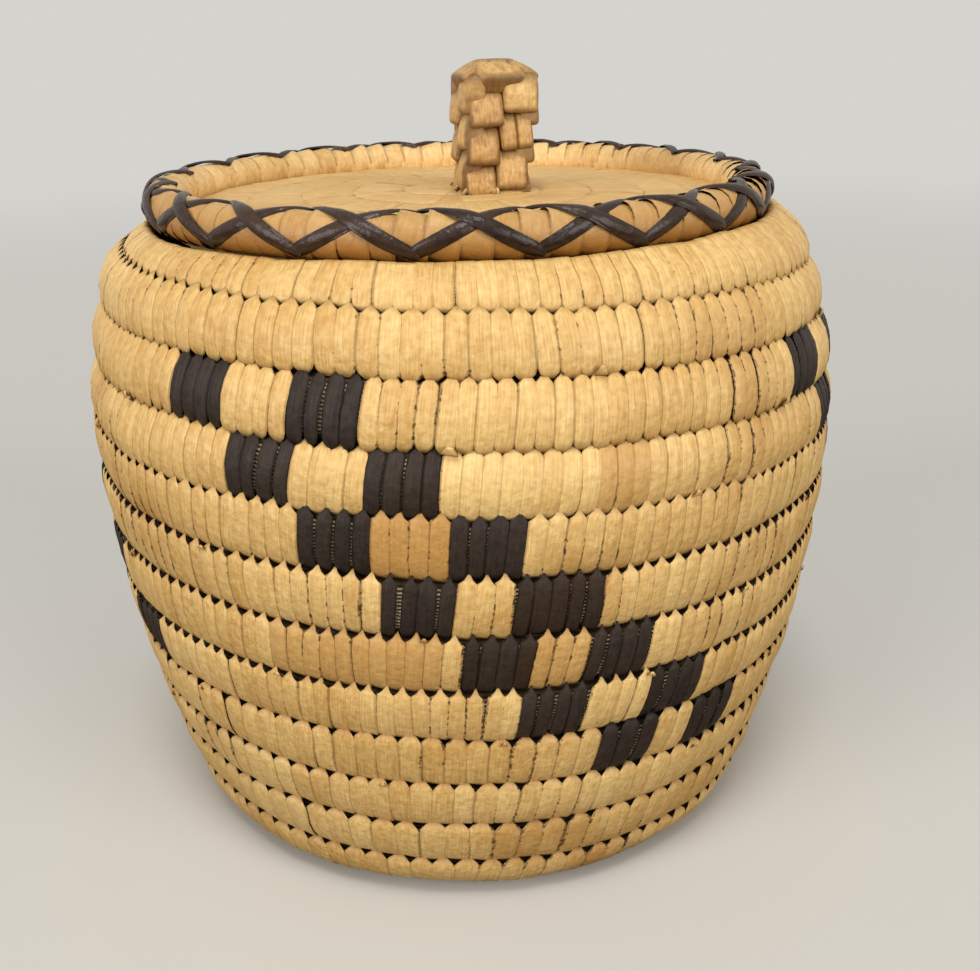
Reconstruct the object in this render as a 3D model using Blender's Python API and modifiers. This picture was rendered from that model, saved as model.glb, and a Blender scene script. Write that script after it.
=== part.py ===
"""Lidded coiled basket: a jar-shaped body and a flat lid with a plaited knob.

Metres, +Z up, standing on z = 0, with the front of the basket towards -Y.
The body is one grass coil wound outwards from the base and up to the mouth,
and dark stair-step stitches lie over it. The lid is a flatter coil with a
thick rim coil, two dark lacing strips crossed over the rim, and a knob
plaited from four strips.
"""
import math

import bmesh
import bpy
from mathutils import Vector

# Coils of the body and the lid
LOOP_POINTS = 24
COIL_GAP = 0.0007
COIL_JOIN_GAP = 0.0003
COIL_END_ANGLE = math.radians(-180)
CENTRE_HOLE_RADIUS = 0.0012
CENTRE_TIP_HEIGHT = 0.0035

# Body coil
COIL_PITCH = 0.01438
COIL_THICKNESS = 0.010
COIL_BULGE = 0.0016
COIL_INNER_TAPER = 0.0020
COIL_END_HEIGHT = 0.0028
SECOND_COURSE_NARROWING = 0.0013
NARROWING_START_TURNS = 0.5
BASE_FLAT_DEPTH = 0.0005

# Body outline, on the outside of the coil
BELLY_RADIUS = 0.100
BELLY_HEIGHT = 0.118
FOOT_RADIUS = 0.0785
LOWER_CURVE = 2.2
NECK_RADIUS = 0.0898
NECK_HEIGHT = 0.164
UPPER_CURVE = 1.45
FOOT_BEND_HEIGHT = 0.009
SHOULDER_BEND_HEIGHT = 0.151

# Mouth, at the middle of the coil's thickness
MOUTH_RADIUS = 0.0807
MOUTH_HEIGHT = 0.1601
MOUTH_LEAN = math.radians(58)

# Dark stair-step stitches: where each motif stands round the wall, and its top course
MOTIF_ANGLES = (math.radians(0), math.radians(92.2), math.radians(177.3), math.radians(-97.5))
MOTIF_TOP_COURSES = (3, 3, 3, 2)
FLIGHT_OFFSET = math.radians(18.4)
BLOCK_ANGLE = math.radians(9.6)
BLOCK_OVERLAP = math.radians(1)
BLOCK_COURSES = 7
FIRST_BLOCK_ANGLE = math.radians(-41)
STITCH_THICKNESS = 0.0006
STITCH_CLEARANCE = 0.00045

# Lid
RIM_INSET = 0.0045
RIM_COIL_RADIUS = 0.0052
RIM_POINTS = 48
RIM_SEAT_GAP = 0.0004
LID_COIL_THICKNESS = 0.0066
LID_COIL_BULGE = 0.0011
LID_COIL_PITCH = 0.0137
LID_COIL_END_HEIGHT = 0.003
LID_RIM_GAP = 0.0003
LID_EDGE_DROP = 0.0049
LID_DOME = 0.0018

# Lacing over the rim
LACING_REPEATS = 20
LACING_WIDTH = 0.004
LACING_THICKNESS = 0.00035
LACING_CLEARANCE = 0.00045
LACING_VALLEY = math.radians(-30)
LACING_PEAK = math.radians(118)
LACING_FIRST_VALLEY = math.radians(-7)
ARM_STEPS = 6

# Knob
KNOB_OFFSET = 0.0094
KNOB_TURN = math.radians(13)
KNOB_SIDE = 0.0206
KNOB_LAYERS = 6
KNOB_LAYER_HEIGHT = 0.0053
KNOB_SEAT_GAP = 0.0003
STRIP_THICKNESS = 0.0009
STRIP_GAP = 0.0004
STRIP_BEND_RADIUS = 0.0011

OUTER_OFFSET = COIL_THICKNESS / 2
RIM_RADIUS = MOUTH_RADIUS - RIM_INSET
LACING_REACH = RIM_COIL_RADIUS + 2 * (LACING_CLEARANCE + LACING_THICKNESS)


def clear_scene():
    """Remove every object of the start scene."""
    for item in list(bpy.data.objects):
        bpy.data.objects.remove(item, do_unlink=True)


def new_collection(name):
    """Return a collection linked to the scene."""
    collection = bpy.data.collections.new(name)
    bpy.context.scene.collection.children.link(collection)
    return collection


def new_material(name, colour, roughness):
    """Return a plain matt material of a dry plant fibre."""
    material = bpy.data.materials.new(name)
    material.use_nodes = True
    shader = material.node_tree.nodes["Principled BSDF"]
    shader.inputs["Base Color"].default_value = (*colour, 1.0)
    shader.inputs["Roughness"].default_value = roughness
    shader.inputs["Metallic"].default_value = 0.0
    material.diffuse_color = (*colour, 1.0)
    return material


def add_object(name, data, collection, material, parent=None):
    """Place a mesh or a curve in its collection, with its material and parent."""
    item = bpy.data.objects.new(name, data)
    collection.objects.link(item)
    data.materials.append(material)
    if parent is not None:
        item.parent = parent
        item.matrix_parent_inverse = parent.matrix_world.inverted()
    return item


def corner(start, start_direction, end, end_direction, steps=12):
    """Points of the bend that leaves in one direction and arrives in another."""
    reach = (end - start).cross(end_direction) / start_direction.cross(end_direction)
    middle = start + start_direction * reach
    points = []
    for step in range(steps + 1):
        part = step / steps
        points.append(start * (1 - part) ** 2 + middle * 2 * part * (1 - part) + end * part ** 2)
    return points


def outline_radius(height):
    """Outside radius of the wall at a height."""
    if height < BELLY_HEIGHT:
        share = (BELLY_HEIGHT - height) / BELLY_HEIGHT
        return BELLY_RADIUS - (BELLY_RADIUS - FOOT_RADIUS) * share ** LOWER_CURVE
    share = (height - BELLY_HEIGHT) / (NECK_HEIGHT - BELLY_HEIGHT)
    return BELLY_RADIUS - (BELLY_RADIUS - NECK_RADIUS) * share ** UPPER_CURVE


def wall_middle(height):
    """Middle of the wall's thickness beside a height on the outside, and the wall's direction."""
    step = 0.0005
    rise = Vector((outline_radius(height + step) - outline_radius(height - step), 2 * step))
    direction = rise.normalized()
    inward = Vector((-direction.y, direction.x))
    return Vector((outline_radius(height), height)) + inward * OUTER_OFFSET, direction


def mouth_direction():
    """Direction of the wall where it ends at the mouth, as (radius, height)."""
    return Vector((-math.sin(MOUTH_LEAN), math.cos(MOUTH_LEAN)))


class Profile:
    """A line of (radius, height) points that is read by the distance along it."""

    def __init__(self, points):
        self.points = points
        self.distances = [0.0]
        for before, after in zip(points, points[1:]):
            self.distances.append(self.distances[-1] + (after - before).length)
        self.length = self.distances[-1]

    def place(self, distance):
        """Point at a distance, on the straight run past either end too."""
        index = 0
        while index < len(self.points) - 2 and self.distances[index + 1] < distance:
            index += 1
        run = self.points[index + 1] - self.points[index]
        return self.points[index] + run * ((distance - self.distances[index]) / run.length)

    def direction(self, distance, reach=0.003):
        """Direction of the line around a distance."""
        before = max(distance - reach, 0.0)
        after = min(distance + reach, self.length)
        return (self.place(after) - self.place(before)).normalized()


def body_profile():
    """Profile of the wall's middle from the centre of the base to the mouth, and the flat's radius."""
    floor = OUTER_OFFSET - BASE_FLAT_DEPTH
    foot_end, foot_direction = wall_middle(FOOT_BEND_HEIGHT)
    knee = foot_end.x - (foot_end.y - floor) * foot_direction.x / foot_direction.y
    flat_radius = knee - (foot_end - Vector((knee, floor))).length
    shoulder_start, shoulder_direction = wall_middle(SHOULDER_BEND_HEIGHT)
    mouth = Vector((MOUTH_RADIUS, MOUTH_HEIGHT))

    points = [Vector((0.0, floor))]
    points += corner(Vector((flat_radius, floor)), Vector((1.0, 0.0)), foot_end, foot_direction)
    wall_steps = 60
    for step in range(1, wall_steps):
        height = FOOT_BEND_HEIGHT + (SHOULDER_BEND_HEIGHT - FOOT_BEND_HEIGHT) * step / wall_steps
        points.append(wall_middle(height)[0])
    points += corner(shoulder_start, shoulder_direction, mouth, mouth_direction())
    return Profile(points), flat_radius


def around(place, angle):
    """Point in space of a (radius, height) place, at an angle from the front towards +X."""
    return Vector((place.x * math.sin(angle), -place.x * math.cos(angle), place.y))


def section_outline(half_thickness, bulge, half_height, inner_taper):
    """Six corners of the coil's section, as (outward, along the wall)."""
    edge = half_thickness - bulge
    inner_height = half_height - inner_taper
    return [
        Vector((half_thickness, 0.0)),
        Vector((edge, half_height)),
        Vector((-edge, inner_height)),
        Vector((-half_thickness, 0.0)),
        Vector((-edge, -inner_height)),
        Vector((edge, -half_height)),
    ]


def section_curve(name, corners, cutters):
    """Closed curve that serves as the coil's section."""
    curve = bpy.data.curves.new(name, "CURVE")
    curve.dimensions = "2D"
    spline = curve.splines.new("POLY")
    spline.points.add(len(corners) - 1)
    spline.use_cyclic_u = True
    for point, place in zip(spline.points, corners):
        point.co = (place.x, place.y, 0.0, 1.0)
    item = bpy.data.objects.new(name, curve)
    item.hide_render = True
    item.display_type = "WIRE"
    cutters.objects.link(item)
    return item


def tube_point(station):
    """Place in space, tilt and size of a tube at a station of (angle, place, direction, scale)."""
    angle, place, direction, scale = station
    return around(place, angle), math.atan2(direction.x, direction.y), scale


def between(first, second, part):
    """Point of a tube part of the way along the straight run between two others."""
    place = first[0].lerp(second[0], part)
    return place, first[1] + (second[1] - first[1]) * part, first[2] + (second[2] - first[2]) * part


def tube_curve(name, tube_points):
    """Open curve through the points of a tube, each with its tilt and size."""
    curve = bpy.data.curves.new(name, "CURVE")
    curve.dimensions = "3D"
    curve.twist_mode = "Z_UP"
    curve.use_fill_caps = True
    spline = curve.splines.new("POLY")
    spline.points.add(len(tube_points) - 1)
    for point, (place, tilt, scale) in zip(spline.points, tube_points):
        point.co = (*place, 1.0)
        point.tilt = tilt
        point.radius = scale
    return curve


def edge_distance(point, start, end):
    """Distance from a point to a straight edge."""
    run = end - start
    part = max(0.0, min(1.0, (point - start).dot(run) / run.length_squared))
    return (start + run * part - point).length


def outline_gap(first, second):
    """Least distance between two outlines that lie in one plane."""
    least = math.inf
    for one, other in ((first, second), (second, first)):
        for point in one:
            for index, start in enumerate(other):
                least = min(least, edge_distance(point, start, other[index - 1]))
    return least


def print_least_gap(name, stations, corners):
    """Print the least gap between each loop of a coil and the next one."""
    outlines = []
    for angle, place, direction, scale in stations:
        outward = Vector((direction.y, -direction.x))
        outlines.append([place + (outward * c.x + direction * c.y) * scale for c in corners])
    pairs = zip(outlines, outlines[LOOP_POINTS:])
    least = min(outline_gap(first, second) for first, second in pairs)
    print(f"least gap between the loops of {name}: {least * 1000:.2f} mm")


class Coil:
    """Course of a coil along a profile, counted in turns from its outer end.

    Both ends taper: the outer end against the profile's end, and the inner one
    round the hole in the centre.
    """

    def __init__(self, profile, pitch, end_height, section, narrowing=0.0):
        self.profile = profile
        self.pitch = pitch
        self.end_height = end_height
        self.section = section
        self.narrowing = narrowing

    def lower_edge(self, turns):
        """Distance along the profile of the coil's lower edge, with a narrower second course."""
        share = max(0.0, min(1.0, turns - NARROWING_START_TURNS))
        eased = share * share * (3 - 2 * share)
        return self.profile.length - self.end_height - self.pitch * turns + self.narrowing * eased

    def centre(self, turns):
        """Distance along the profile of the coil's middle, and the height it takes up."""
        top = min(self.lower_edge(turns - 1), self.profile.length)
        bottom = max(self.lower_edge(turns), CENTRE_HOLE_RADIUS)
        return (bottom + top) / 2, top - bottom

    def turns_at(self, distance):
        """Turns from the end at which the coil's middle lies at a distance, below the second course."""
        outer_edge = self.profile.length - self.end_height + self.narrowing
        return (outer_edge + self.pitch / 2 - distance) / self.pitch

    def stations(self):
        """Stations of the whole coil, from its outer end to its tip in the centre."""
        tip_middle = CENTRE_HOLE_RADIUS + CENTRE_TIP_HEIGHT - self.pitch / 2
        result = []
        for index in range(math.floor(self.turns_at(tip_middle) * LOOP_POINTS) + 1):
            turns = index / LOOP_POINTS
            distance, height = self.centre(turns)
            scale = (height - COIL_GAP) / (self.pitch - COIL_GAP)
            angle = COIL_END_ANGLE + math.tau * turns
            place = self.profile.place(distance)
            result.append((angle, place, self.profile.direction(distance), scale))
        return result

    def surface(self, angle, course, part, offset):
        """Point over the outside of a course, part of the way up from its middle (-1 to 1)."""
        turns = course - 1 + (angle - COIL_END_ANGLE) / math.tau
        middle, height = self.centre(turns)
        direction = self.profile.direction(middle)
        outward = Vector((direction.y, -direction.x))
        scale = (height - COIL_GAP) / (self.pitch - COIL_GAP)
        reach = (OUTER_OFFSET - COIL_BULGE * abs(part)) * scale + offset
        place = self.profile.place(middle) + direction * (height / 2 * part) + outward * reach
        return around(place, angle)


def body_coil(profile):
    """Course of the body's coil."""
    half_height = (COIL_PITCH - COIL_GAP) / 2
    section = section_outline(OUTER_OFFSET, COIL_BULGE, half_height, COIL_INNER_TAPER)
    return Coil(profile, COIL_PITCH, COIL_END_HEIGHT, section, SECOND_COURSE_NARROWING)


def make_body(coil, flat_radius, body, cutters, materials):
    """Model the base coil and the wall coil, cut flat where they stand."""
    section = section_curve("body_coil_section", coil.section, cutters)
    stations = coil.stations()
    print_least_gap("the body", stations, coil.section)
    points = [tube_point(station) for station in stations]
    join = math.floor(coil.turns_at(flat_radius) * LOOP_POINTS)
    above, below = points[join], points[join + 1]
    gap_share = COIL_JOIN_GAP / (below[0] - above[0]).length
    courses = {
        "wall_coil": points[:join + 1] + [between(above, below, (1 - gap_share) / 2)],
        "base_coil": [between(above, below, (1 + gap_share) / 2)] + points[join + 1:],
    }
    for name, tube_points in courses.items():
        curve = tube_curve(name, tube_points)
        curve.bevel_mode = "OBJECT"
        curve.bevel_object = section
        item = add_object(name, tube_mesh(curve, cutters), body, materials["coil"])
        cut_flat(item, cutters)


def tube_mesh(curve, cutters):
    """Welded mesh of a tube curve, in triangles that a Boolean can cut."""
    source = bpy.data.objects.new(curve.name + "_tube", curve)
    cutters.objects.link(source)
    bpy.context.view_layer.update()
    depsgraph = bpy.context.evaluated_depsgraph_get()
    mesh = bpy.data.meshes.new_from_object(source.evaluated_get(depsgraph))
    bpy.data.objects.remove(source, do_unlink=True)
    work = bmesh.new()
    work.from_mesh(mesh)
    bmesh.ops.remove_doubles(work, verts=work.verts, dist=0.00001)
    bmesh.ops.triangulate(work, faces=work.faces)
    bmesh.ops.recalc_face_normals(work, faces=work.faces)
    work.to_mesh(mesh)
    work.free()
    return mesh


def cut_flat(item, cutters):
    """Cut a coil flat at the height on which the basket stands."""
    side = 2.5 * BELLY_RADIUS
    depth = 0.02
    mesh = bpy.data.meshes.new(item.name + "_floor_cut")
    work = bmesh.new()
    bmesh.ops.create_cube(work, size=1.0)
    bmesh.ops.scale(work, vec=(side, side, depth), verts=work.verts)
    bmesh.ops.translate(work, vec=(0.0, 0.0, -depth / 2), verts=work.verts)
    work.to_mesh(mesh)
    work.free()
    cutter = bpy.data.objects.new(item.name + "_floor_cut", mesh)
    cutter.hide_render = True
    cutter.display_type = "WIRE"
    cutters.objects.link(cutter)
    cut = item.modifiers.new("flat", "BOOLEAN")
    cut.operation = "DIFFERENCE"
    cut.solver = "EXACT"
    cut.object = cutter


def make_dark_stitches(coil, body, materials):
    """Model the dark stair-step flights, two to a motif, each as one thin plate."""
    for motif, (turn, top_course) in enumerate(zip(MOTIF_ANGLES, MOTIF_TOP_COURSES)):
        for flight, letter in enumerate("ab"):
            start = FIRST_BLOCK_ANGLE + turn + flight * FLIGHT_OFFSET
            mesh = bpy.data.meshes.new(f"dark_flight_{motif + 1}{letter}")
            stair_mesh(mesh, coil, start, top_course)
            item = add_object(mesh.name, mesh, body, materials["dark_stitch"])
            skin = item.modifiers.new("thickness", "SOLIDIFY")
            skin.thickness = STITCH_THICKNESS
            skin.offset = 1.0


def stair_mesh(mesh, coil, start, top_course):
    """Sheet of one flight of blocks, one block to a course, falling to the right.

    A block has two rows. Its upper row reaches left, to the block above, and its
    lower row reaches right, to the block below, so that flights stay apart.
    """
    half = BLOCK_OVERLAP / 2
    columns = []
    for block in range(BLOCK_COURSES + 1):
        edge = start + block * BLOCK_ANGLE
        columns += [edge - half, edge + half, edge + BLOCK_ANGLE / 2]
    columns.pop()
    rows_per_course = 2
    rows = rows_per_course * BLOCK_COURSES + 1
    work = bmesh.new()
    corners = {}

    def corner_at(column, row):
        """Shared corner of the sheet, made when it is first asked for."""
        if (column, row) not in corners:
            course = top_course + min(row // rows_per_course, BLOCK_COURSES - 1)
            part = 1.0 - (row - rows_per_course * (course - top_course))
            place = coil.surface(columns[column], course, part, STITCH_CLEARANCE)
            corners[column, row] = work.verts.new(place)
        return corners[column, row]

    for row in range(rows - 1):
        block = row // rows_per_course
        first = 3 * block + row % rows_per_course
        for column in range(first, first + 3):
            work.faces.new((
                corner_at(column, row + 1),
                corner_at(column + 1, row + 1),
                corner_at(column + 1, row),
                corner_at(column, row),
            ))
    work.to_mesh(mesh)
    work.free()


def rim_height():
    """Height of the rim coil's middle, at which its lacing rests on the mouth."""
    direction = mouth_direction()
    reach = LACING_REACH + RIM_SEAT_GAP
    return MOUTH_HEIGHT + (reach - (RIM_RADIUS - MOUTH_RADIUS) * direction.x) / direction.y


def lid_profile():
    """Profile of the lid's coil from its centre to its edge under the rim."""
    edge_height = rim_height() - LID_EDGE_DROP
    corner_drop = LID_EDGE_DROP - (LID_COIL_THICKNESS / 2 - LID_COIL_BULGE)
    edge_reach = math.sqrt((LACING_REACH + LID_RIM_GAP) ** 2 - corner_drop ** 2)
    edge_radius = RIM_RADIUS - edge_reach
    steps = 30
    points = []
    for step in range(steps + 1):
        share = step / steps
        points.append(Vector((edge_radius * share, edge_height + LID_DOME * (1 - share ** 2))))
    return Profile(points)


def make_lid(lid, cutters, materials, parent):
    """Model the lid's flat coil and its thick rim coil."""
    half_height = (LID_COIL_PITCH - COIL_GAP) / 2
    section = section_outline(LID_COIL_THICKNESS / 2, LID_COIL_BULGE, half_height, 0.0)
    coil = Coil(lid_profile(), LID_COIL_PITCH, LID_COIL_END_HEIGHT, section)
    stations = coil.stations()
    print_least_gap("the lid", stations, section)
    curve = tube_curve("lid_coil", [tube_point(station) for station in stations])
    curve.bevel_mode = "OBJECT"
    curve.bevel_object = section_curve("lid_coil_section", section, cutters)
    add_object("lid_coil", tube_mesh(curve, cutters), lid, materials["coil"], parent)

    middle = Vector((RIM_RADIUS, rim_height()))
    gap_angle = COIL_JOIN_GAP / RIM_RADIUS
    rim_points = []
    for index in range(RIM_POINTS + 1):
        angle = COIL_END_ANGLE + (math.tau - gap_angle) * index / RIM_POINTS
        rim_points.append((around(middle, angle), 0.0, 1.0))
    rim = tube_curve("lid_rim_coil", rim_points)
    rim.bevel_depth = RIM_COIL_RADIUS
    rim.bevel_resolution = 2
    add_object("lid_rim_coil", tube_mesh(rim, cutters), lid, materials["rim"], parent)


def make_lacing(lid, materials, parent):
    """Model the two dark strips that zigzag over the rim and cross between their points."""
    for strand, letter in enumerate("ab"):
        mesh = bpy.data.meshes.new(f"rim_lacing_{letter}")
        lacing_mesh(mesh, strand)
        item = add_object(mesh.name, mesh, lid, materials["lacing"], parent)
        skin = item.modifiers.new("thickness", "SOLIDIFY")
        skin.thickness = LACING_THICKNESS
        skin.offset = 1.0


def lacing_mesh(mesh, strand):
    """Sheet of one zigzag strip, low on its rising arms and high on its falling ones."""
    arm_angle = math.tau / LACING_REPEATS
    first = LACING_FIRST_VALLEY + math.pi + strand * arm_angle
    low = RIM_COIL_RADIUS + LACING_CLEARANCE
    high = low + LACING_CLEARANCE + LACING_THICKNESS
    end_trim = 0.5 * LACING_WIDTH / RIM_RADIUS
    count = LACING_REPEATS * ARM_STEPS
    work = bmesh.new()
    rows = []
    for index in range(count + 1):
        arm, part = divmod(index / ARM_STEPS, 1.0)
        rising = arm % 2 == 0
        swing = part if rising else 1.0 - part
        tube_angle = LACING_VALLEY + (LACING_PEAK - LACING_VALLEY) * swing
        turned = part == 0.0
        level = (low + high) / 2 if turned else (low if rising else high)
        angle = first + arm_angle * index / ARM_STEPS
        if index == 0:
            angle += end_trim
        if index == count:
            angle -= end_trim
        along = (RIM_RADIUS + level * math.cos(tube_angle)) * arm_angle
        round_tube = level * (LACING_PEAK - LACING_VALLEY) * (1 if rising else -1)
        slope = Vector((along, round_tube)).normalized()
        aside = Vector((-slope.y, slope.x))
        if turned:
            aside = Vector((0.0, 1.0 / abs(slope.x)))
        row = []
        for side in (-0.5, 0.0, 0.5):
            shift = aside * LACING_WIDTH * side
            edge_tube = tube_angle + shift.y / level
            radius = RIM_RADIUS + level * math.cos(edge_tube)
            edge_angle = angle + shift.x / radius
            height = rim_height() + level * math.sin(edge_tube)
            row.append(work.verts.new(around(Vector((radius, height)), edge_angle)))
        rows.append(row)
    for before, after in zip(rows, rows[1:]):
        work.faces.new((before[0], after[0], after[1], before[1]))
        work.faces.new((before[1], after[1], after[2], before[2]))
    work.to_mesh(mesh)
    work.free()


def make_knob(lid, materials, parent):
    """Model the knob's four strips, folded to and fro across each other in layers."""
    profile = lid_profile()
    base = profile.place(KNOB_OFFSET).y + LID_COIL_THICKNESS / 2 + KNOB_SEAT_GAP
    strip_width = KNOB_SIDE / 2 - STRIP_THICKNESS - 1.5 * STRIP_GAP
    strip_middle = (strip_width + STRIP_GAP) / 2
    for number in range(4):
        across = number >= 2
        side = 1 if number % 2 else -1
        curve = bpy.data.curves.new(f"knob_strip_{number + 1}", "CURVE")
        curve.dimensions = "2D"
        curve.fill_mode = "NONE"
        curve.extrude = strip_width / 2
        places = strip_route(starts_right=side > 0)
        spline = curve.splines.new("POLY")
        spline.points.add(len(places) - 1)
        for point, place in zip(spline.points, places):
            point.co = (place.x, place.y, 0.0, 1.0)
        item = add_object(curve.name, curve, lid, materials["knob"], parent)
        turn = KNOB_TURN + (math.pi / 2 if across else 0.0)
        lift = STRIP_THICKNESS / 2 + (KNOB_LAYER_HEIGHT / 2 if across else 0.0)
        aside = Vector((-math.sin(turn), math.cos(turn))) * side * strip_middle
        item.rotation_euler = (math.pi / 2, 0.0, turn)
        item.location = (KNOB_OFFSET + aside.x, aside.y, base + lift)
        skin = item.modifiers.new("thickness", "SOLIDIFY")
        skin.thickness = STRIP_THICKNESS
        skin.offset = 0.0


def strip_route(starts_right):
    """Route of one strip as (across, height): flat passes joined by folds at either end."""
    reach = (KNOB_SIDE - STRIP_THICKNESS) / 2
    side = 1 if starts_right else -1
    inset = STRIP_BEND_RADIUS
    places = [Vector((-side * (reach - inset), 0.0))]
    for layer in range(KNOB_LAYERS - 1):
        low = layer * KNOB_LAYER_HEIGHT
        high = low + KNOB_LAYER_HEIGHT
        places += bend(Vector((side * (reach - inset), low + inset)), side, upwards=True)
        places += bend(Vector((side * (reach - inset), high - inset)), side, upwards=False)
        side = -side
    places.append(Vector((side * (reach - inset), (KNOB_LAYERS - 1) * KNOB_LAYER_HEIGHT)))
    return places


def bend(middle, side, upwards):
    """Quarter bend of a strip, into a fold or out of it."""
    angles = (-90, -45, 0) if upwards else (0, 45, 90)
    places = []
    for angle in angles:
        turn = math.radians(angle)
        across = side * STRIP_BEND_RADIUS * math.cos(turn)
        places.append(middle + Vector((across, STRIP_BEND_RADIUS * math.sin(turn))))
    return places


def build():
    """Build the basket and its lid."""
    clear_scene()
    body = new_collection("lidded_coiled_basket")
    cutters = new_collection("sections_and_cutters")
    materials = {
        "coil": new_material("golden_coil_stitching", (0.62, 0.42, 0.18), 0.55),
        "rim": new_material("rim_wrapping", (0.66, 0.46, 0.21), 0.5),
        "dark_stitch": new_material("dark_stitching", (0.045, 0.035, 0.032), 0.5),
        "lacing": new_material("dark_rim_lacing", (0.04, 0.03, 0.028), 0.35),
        "knob": new_material("plaited_strip", (0.60, 0.40, 0.18), 0.5),
    }
    lift = bpy.data.objects.new("lid_lift_axis", None)
    lift.location = (0.0, 0.0, MOUTH_HEIGHT)
    body.objects.link(lift)
    bpy.context.view_layer.update()

    profile, flat_radius = body_profile()
    coil = body_coil(profile)
    make_body(coil, flat_radius, body, cutters, materials)
    make_dark_stitches(coil, body, materials)
    make_lid(body, cutters, materials, lift)
    make_lacing(body, materials, lift)
    make_knob(body, materials, lift)


build()
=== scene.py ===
"""Looks of a lidded coiled basket: stitched wall and base, a flat lid with a laced rim, a plaited knob.

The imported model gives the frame. Lengths are metres, +Z is up, and the front faces -Y.
"""

import math
from functools import partial

import bmesh
import bpy
import numpy as np
from mathutils import Matrix, Vector


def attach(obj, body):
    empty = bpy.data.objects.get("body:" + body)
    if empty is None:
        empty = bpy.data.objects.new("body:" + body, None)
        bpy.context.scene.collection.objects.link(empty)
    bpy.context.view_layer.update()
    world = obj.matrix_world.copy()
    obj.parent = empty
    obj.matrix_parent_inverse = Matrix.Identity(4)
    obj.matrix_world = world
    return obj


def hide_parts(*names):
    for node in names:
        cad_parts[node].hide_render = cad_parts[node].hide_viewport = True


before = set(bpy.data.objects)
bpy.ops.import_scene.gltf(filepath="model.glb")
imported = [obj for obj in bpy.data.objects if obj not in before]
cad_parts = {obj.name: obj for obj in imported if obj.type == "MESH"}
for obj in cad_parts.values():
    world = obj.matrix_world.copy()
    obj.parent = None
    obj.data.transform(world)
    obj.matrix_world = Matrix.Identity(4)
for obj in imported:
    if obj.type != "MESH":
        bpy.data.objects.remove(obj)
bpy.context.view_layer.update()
scene = bpy.context.scene

# Camera
# The photograph was taken from just above the rim, about a third of a metre
# from the middle of the basket.
CAMERA_PLACE = Vector((0.0, -0.33082, 0.20883))
CAMERA_PITCH = 0.36731
CAMERA_YAW = 0.020917
CAMERA_ROLL = -0.019527
FOCAL_PIXELS = 1211.33
PHOTO_WIDTH = 980
SENSOR = 36.0


def add_object(name, data):
    """Object with this data, in the scene."""
    item = bpy.data.objects.new(name, data)
    scene.collection.objects.link(item)
    return item


ahead = Vector((math.sin(CAMERA_YAW) * math.cos(CAMERA_PITCH),
                math.cos(CAMERA_YAW) * math.cos(CAMERA_PITCH),
                -math.sin(CAMERA_PITCH)))
level_right = Vector((math.cos(CAMERA_YAW), -math.sin(CAMERA_YAW), 0.0))
level_up = level_right.cross(ahead)
right = level_right * math.cos(CAMERA_ROLL) + level_up * math.sin(CAMERA_ROLL)
up = level_up * math.cos(CAMERA_ROLL) - level_right * math.sin(CAMERA_ROLL)
camera_data = bpy.data.cameras.new("photo_camera")
camera_data.sensor_width = SENSOR
camera_data.lens = FOCAL_PIXELS * SENSOR / PHOTO_WIDTH
camera_data.clip_start = 0.01
camera = add_object("photo_camera", camera_data)
camera.matrix_world = Matrix.Translation(CAMERA_PLACE) @ Matrix((right, up, -ahead)).transposed().to_4x4()
scene.camera = camera
scene.view_settings.view_transform = "Standard"


# Floor and studio light
# A pale matt floor, a soft lamp above the front, two wide ones lower to the
# left and right, and an even pale sky. The floor throws little light back up.
FLOOR_SEEN = "CFCDC7"
FLOOR_BOUNCE = "564C40"
FLOOR_SIZE = 14.0
# Between these distances from the basket the floor fades into the colour of the sky
FLOOR_FADE = (0.35, 1.6)
SKY_COLOUR = "E6E4DF"
SKY_SEEN = 0.84
SKY_LIGHT = 0.52
# Lamps: place, width, and power in watts
LAMPS = {"ceiling_lamp": ((-0.1, -1.35, 3.3), 1.1, 46.0), "left_lamp": ((-2.6, -2.3, 1.2), 2.4, 70.0),
         "right_lamp": ((2.4, -2.4, 1.2), 2.4, 61.0)}
LAMP_AIM = Vector((0.0, 0.0, 0.1))
# Kinds of node that many trees use, and the setting of a mix of colours
MATH = "ShaderNodeMath"
VECTOR_MATH = "ShaderNodeVectorMath"
MAP_RANGE = "ShaderNodeMapRange"
NOISE = "ShaderNodeTexNoise"
MIX = "ShaderNodeMix"
COMBINE = "ShaderNodeCombineXYZ"
SEPARATE = "ShaderNodeSeparateXYZ"
COLOURS = {"data_type": "RGBA"}


def linear(code):
    """Linear RGBA of an sRGB hex colour."""
    channels = []
    for start in (0, 2, 4):
        share = int(code[start:start + 2], 16) / 255
        channels.append(share / 12.92 if share <= 0.04045 else ((share + 0.055) / 1.055) ** 2.4)
    return (*channels, 1.0)


def add_node(tree, kind, settings=None, links=None):
    """Add a node. Settings may be just its operation, and links a list in the order of its inputs."""
    node = tree.nodes.new(kind)
    if isinstance(settings, str):
        settings = {"operation": settings}
    for name, value in (settings or {}).items():
        setattr(node, name, value)
    if not isinstance(links, dict):
        links = dict(enumerate(links or ()))
    for key, value in links.items():
        socket = node.inputs[key]
        if isinstance(value, bpy.types.Node):
            value = value.outputs[0]
        if isinstance(value, bpy.types.NodeSocket):
            tree.links.new(value, socket)
        else:
            socket.default_value = value
    return node


def new_material(name):
    """Material with its node tree, the add_node of that tree and its Principled shader."""
    material = bpy.data.materials.new(name)
    material.use_nodes = True
    tree = material.node_tree
    return material, tree, partial(add_node, tree), tree.nodes["Principled BSDF"]


def add_mesh(name, work):
    """Mesh object made from finished bmesh work."""
    mesh = bpy.data.meshes.new(name)
    work.to_mesh(mesh)
    work.free()
    return add_object(name, mesh)


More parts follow.
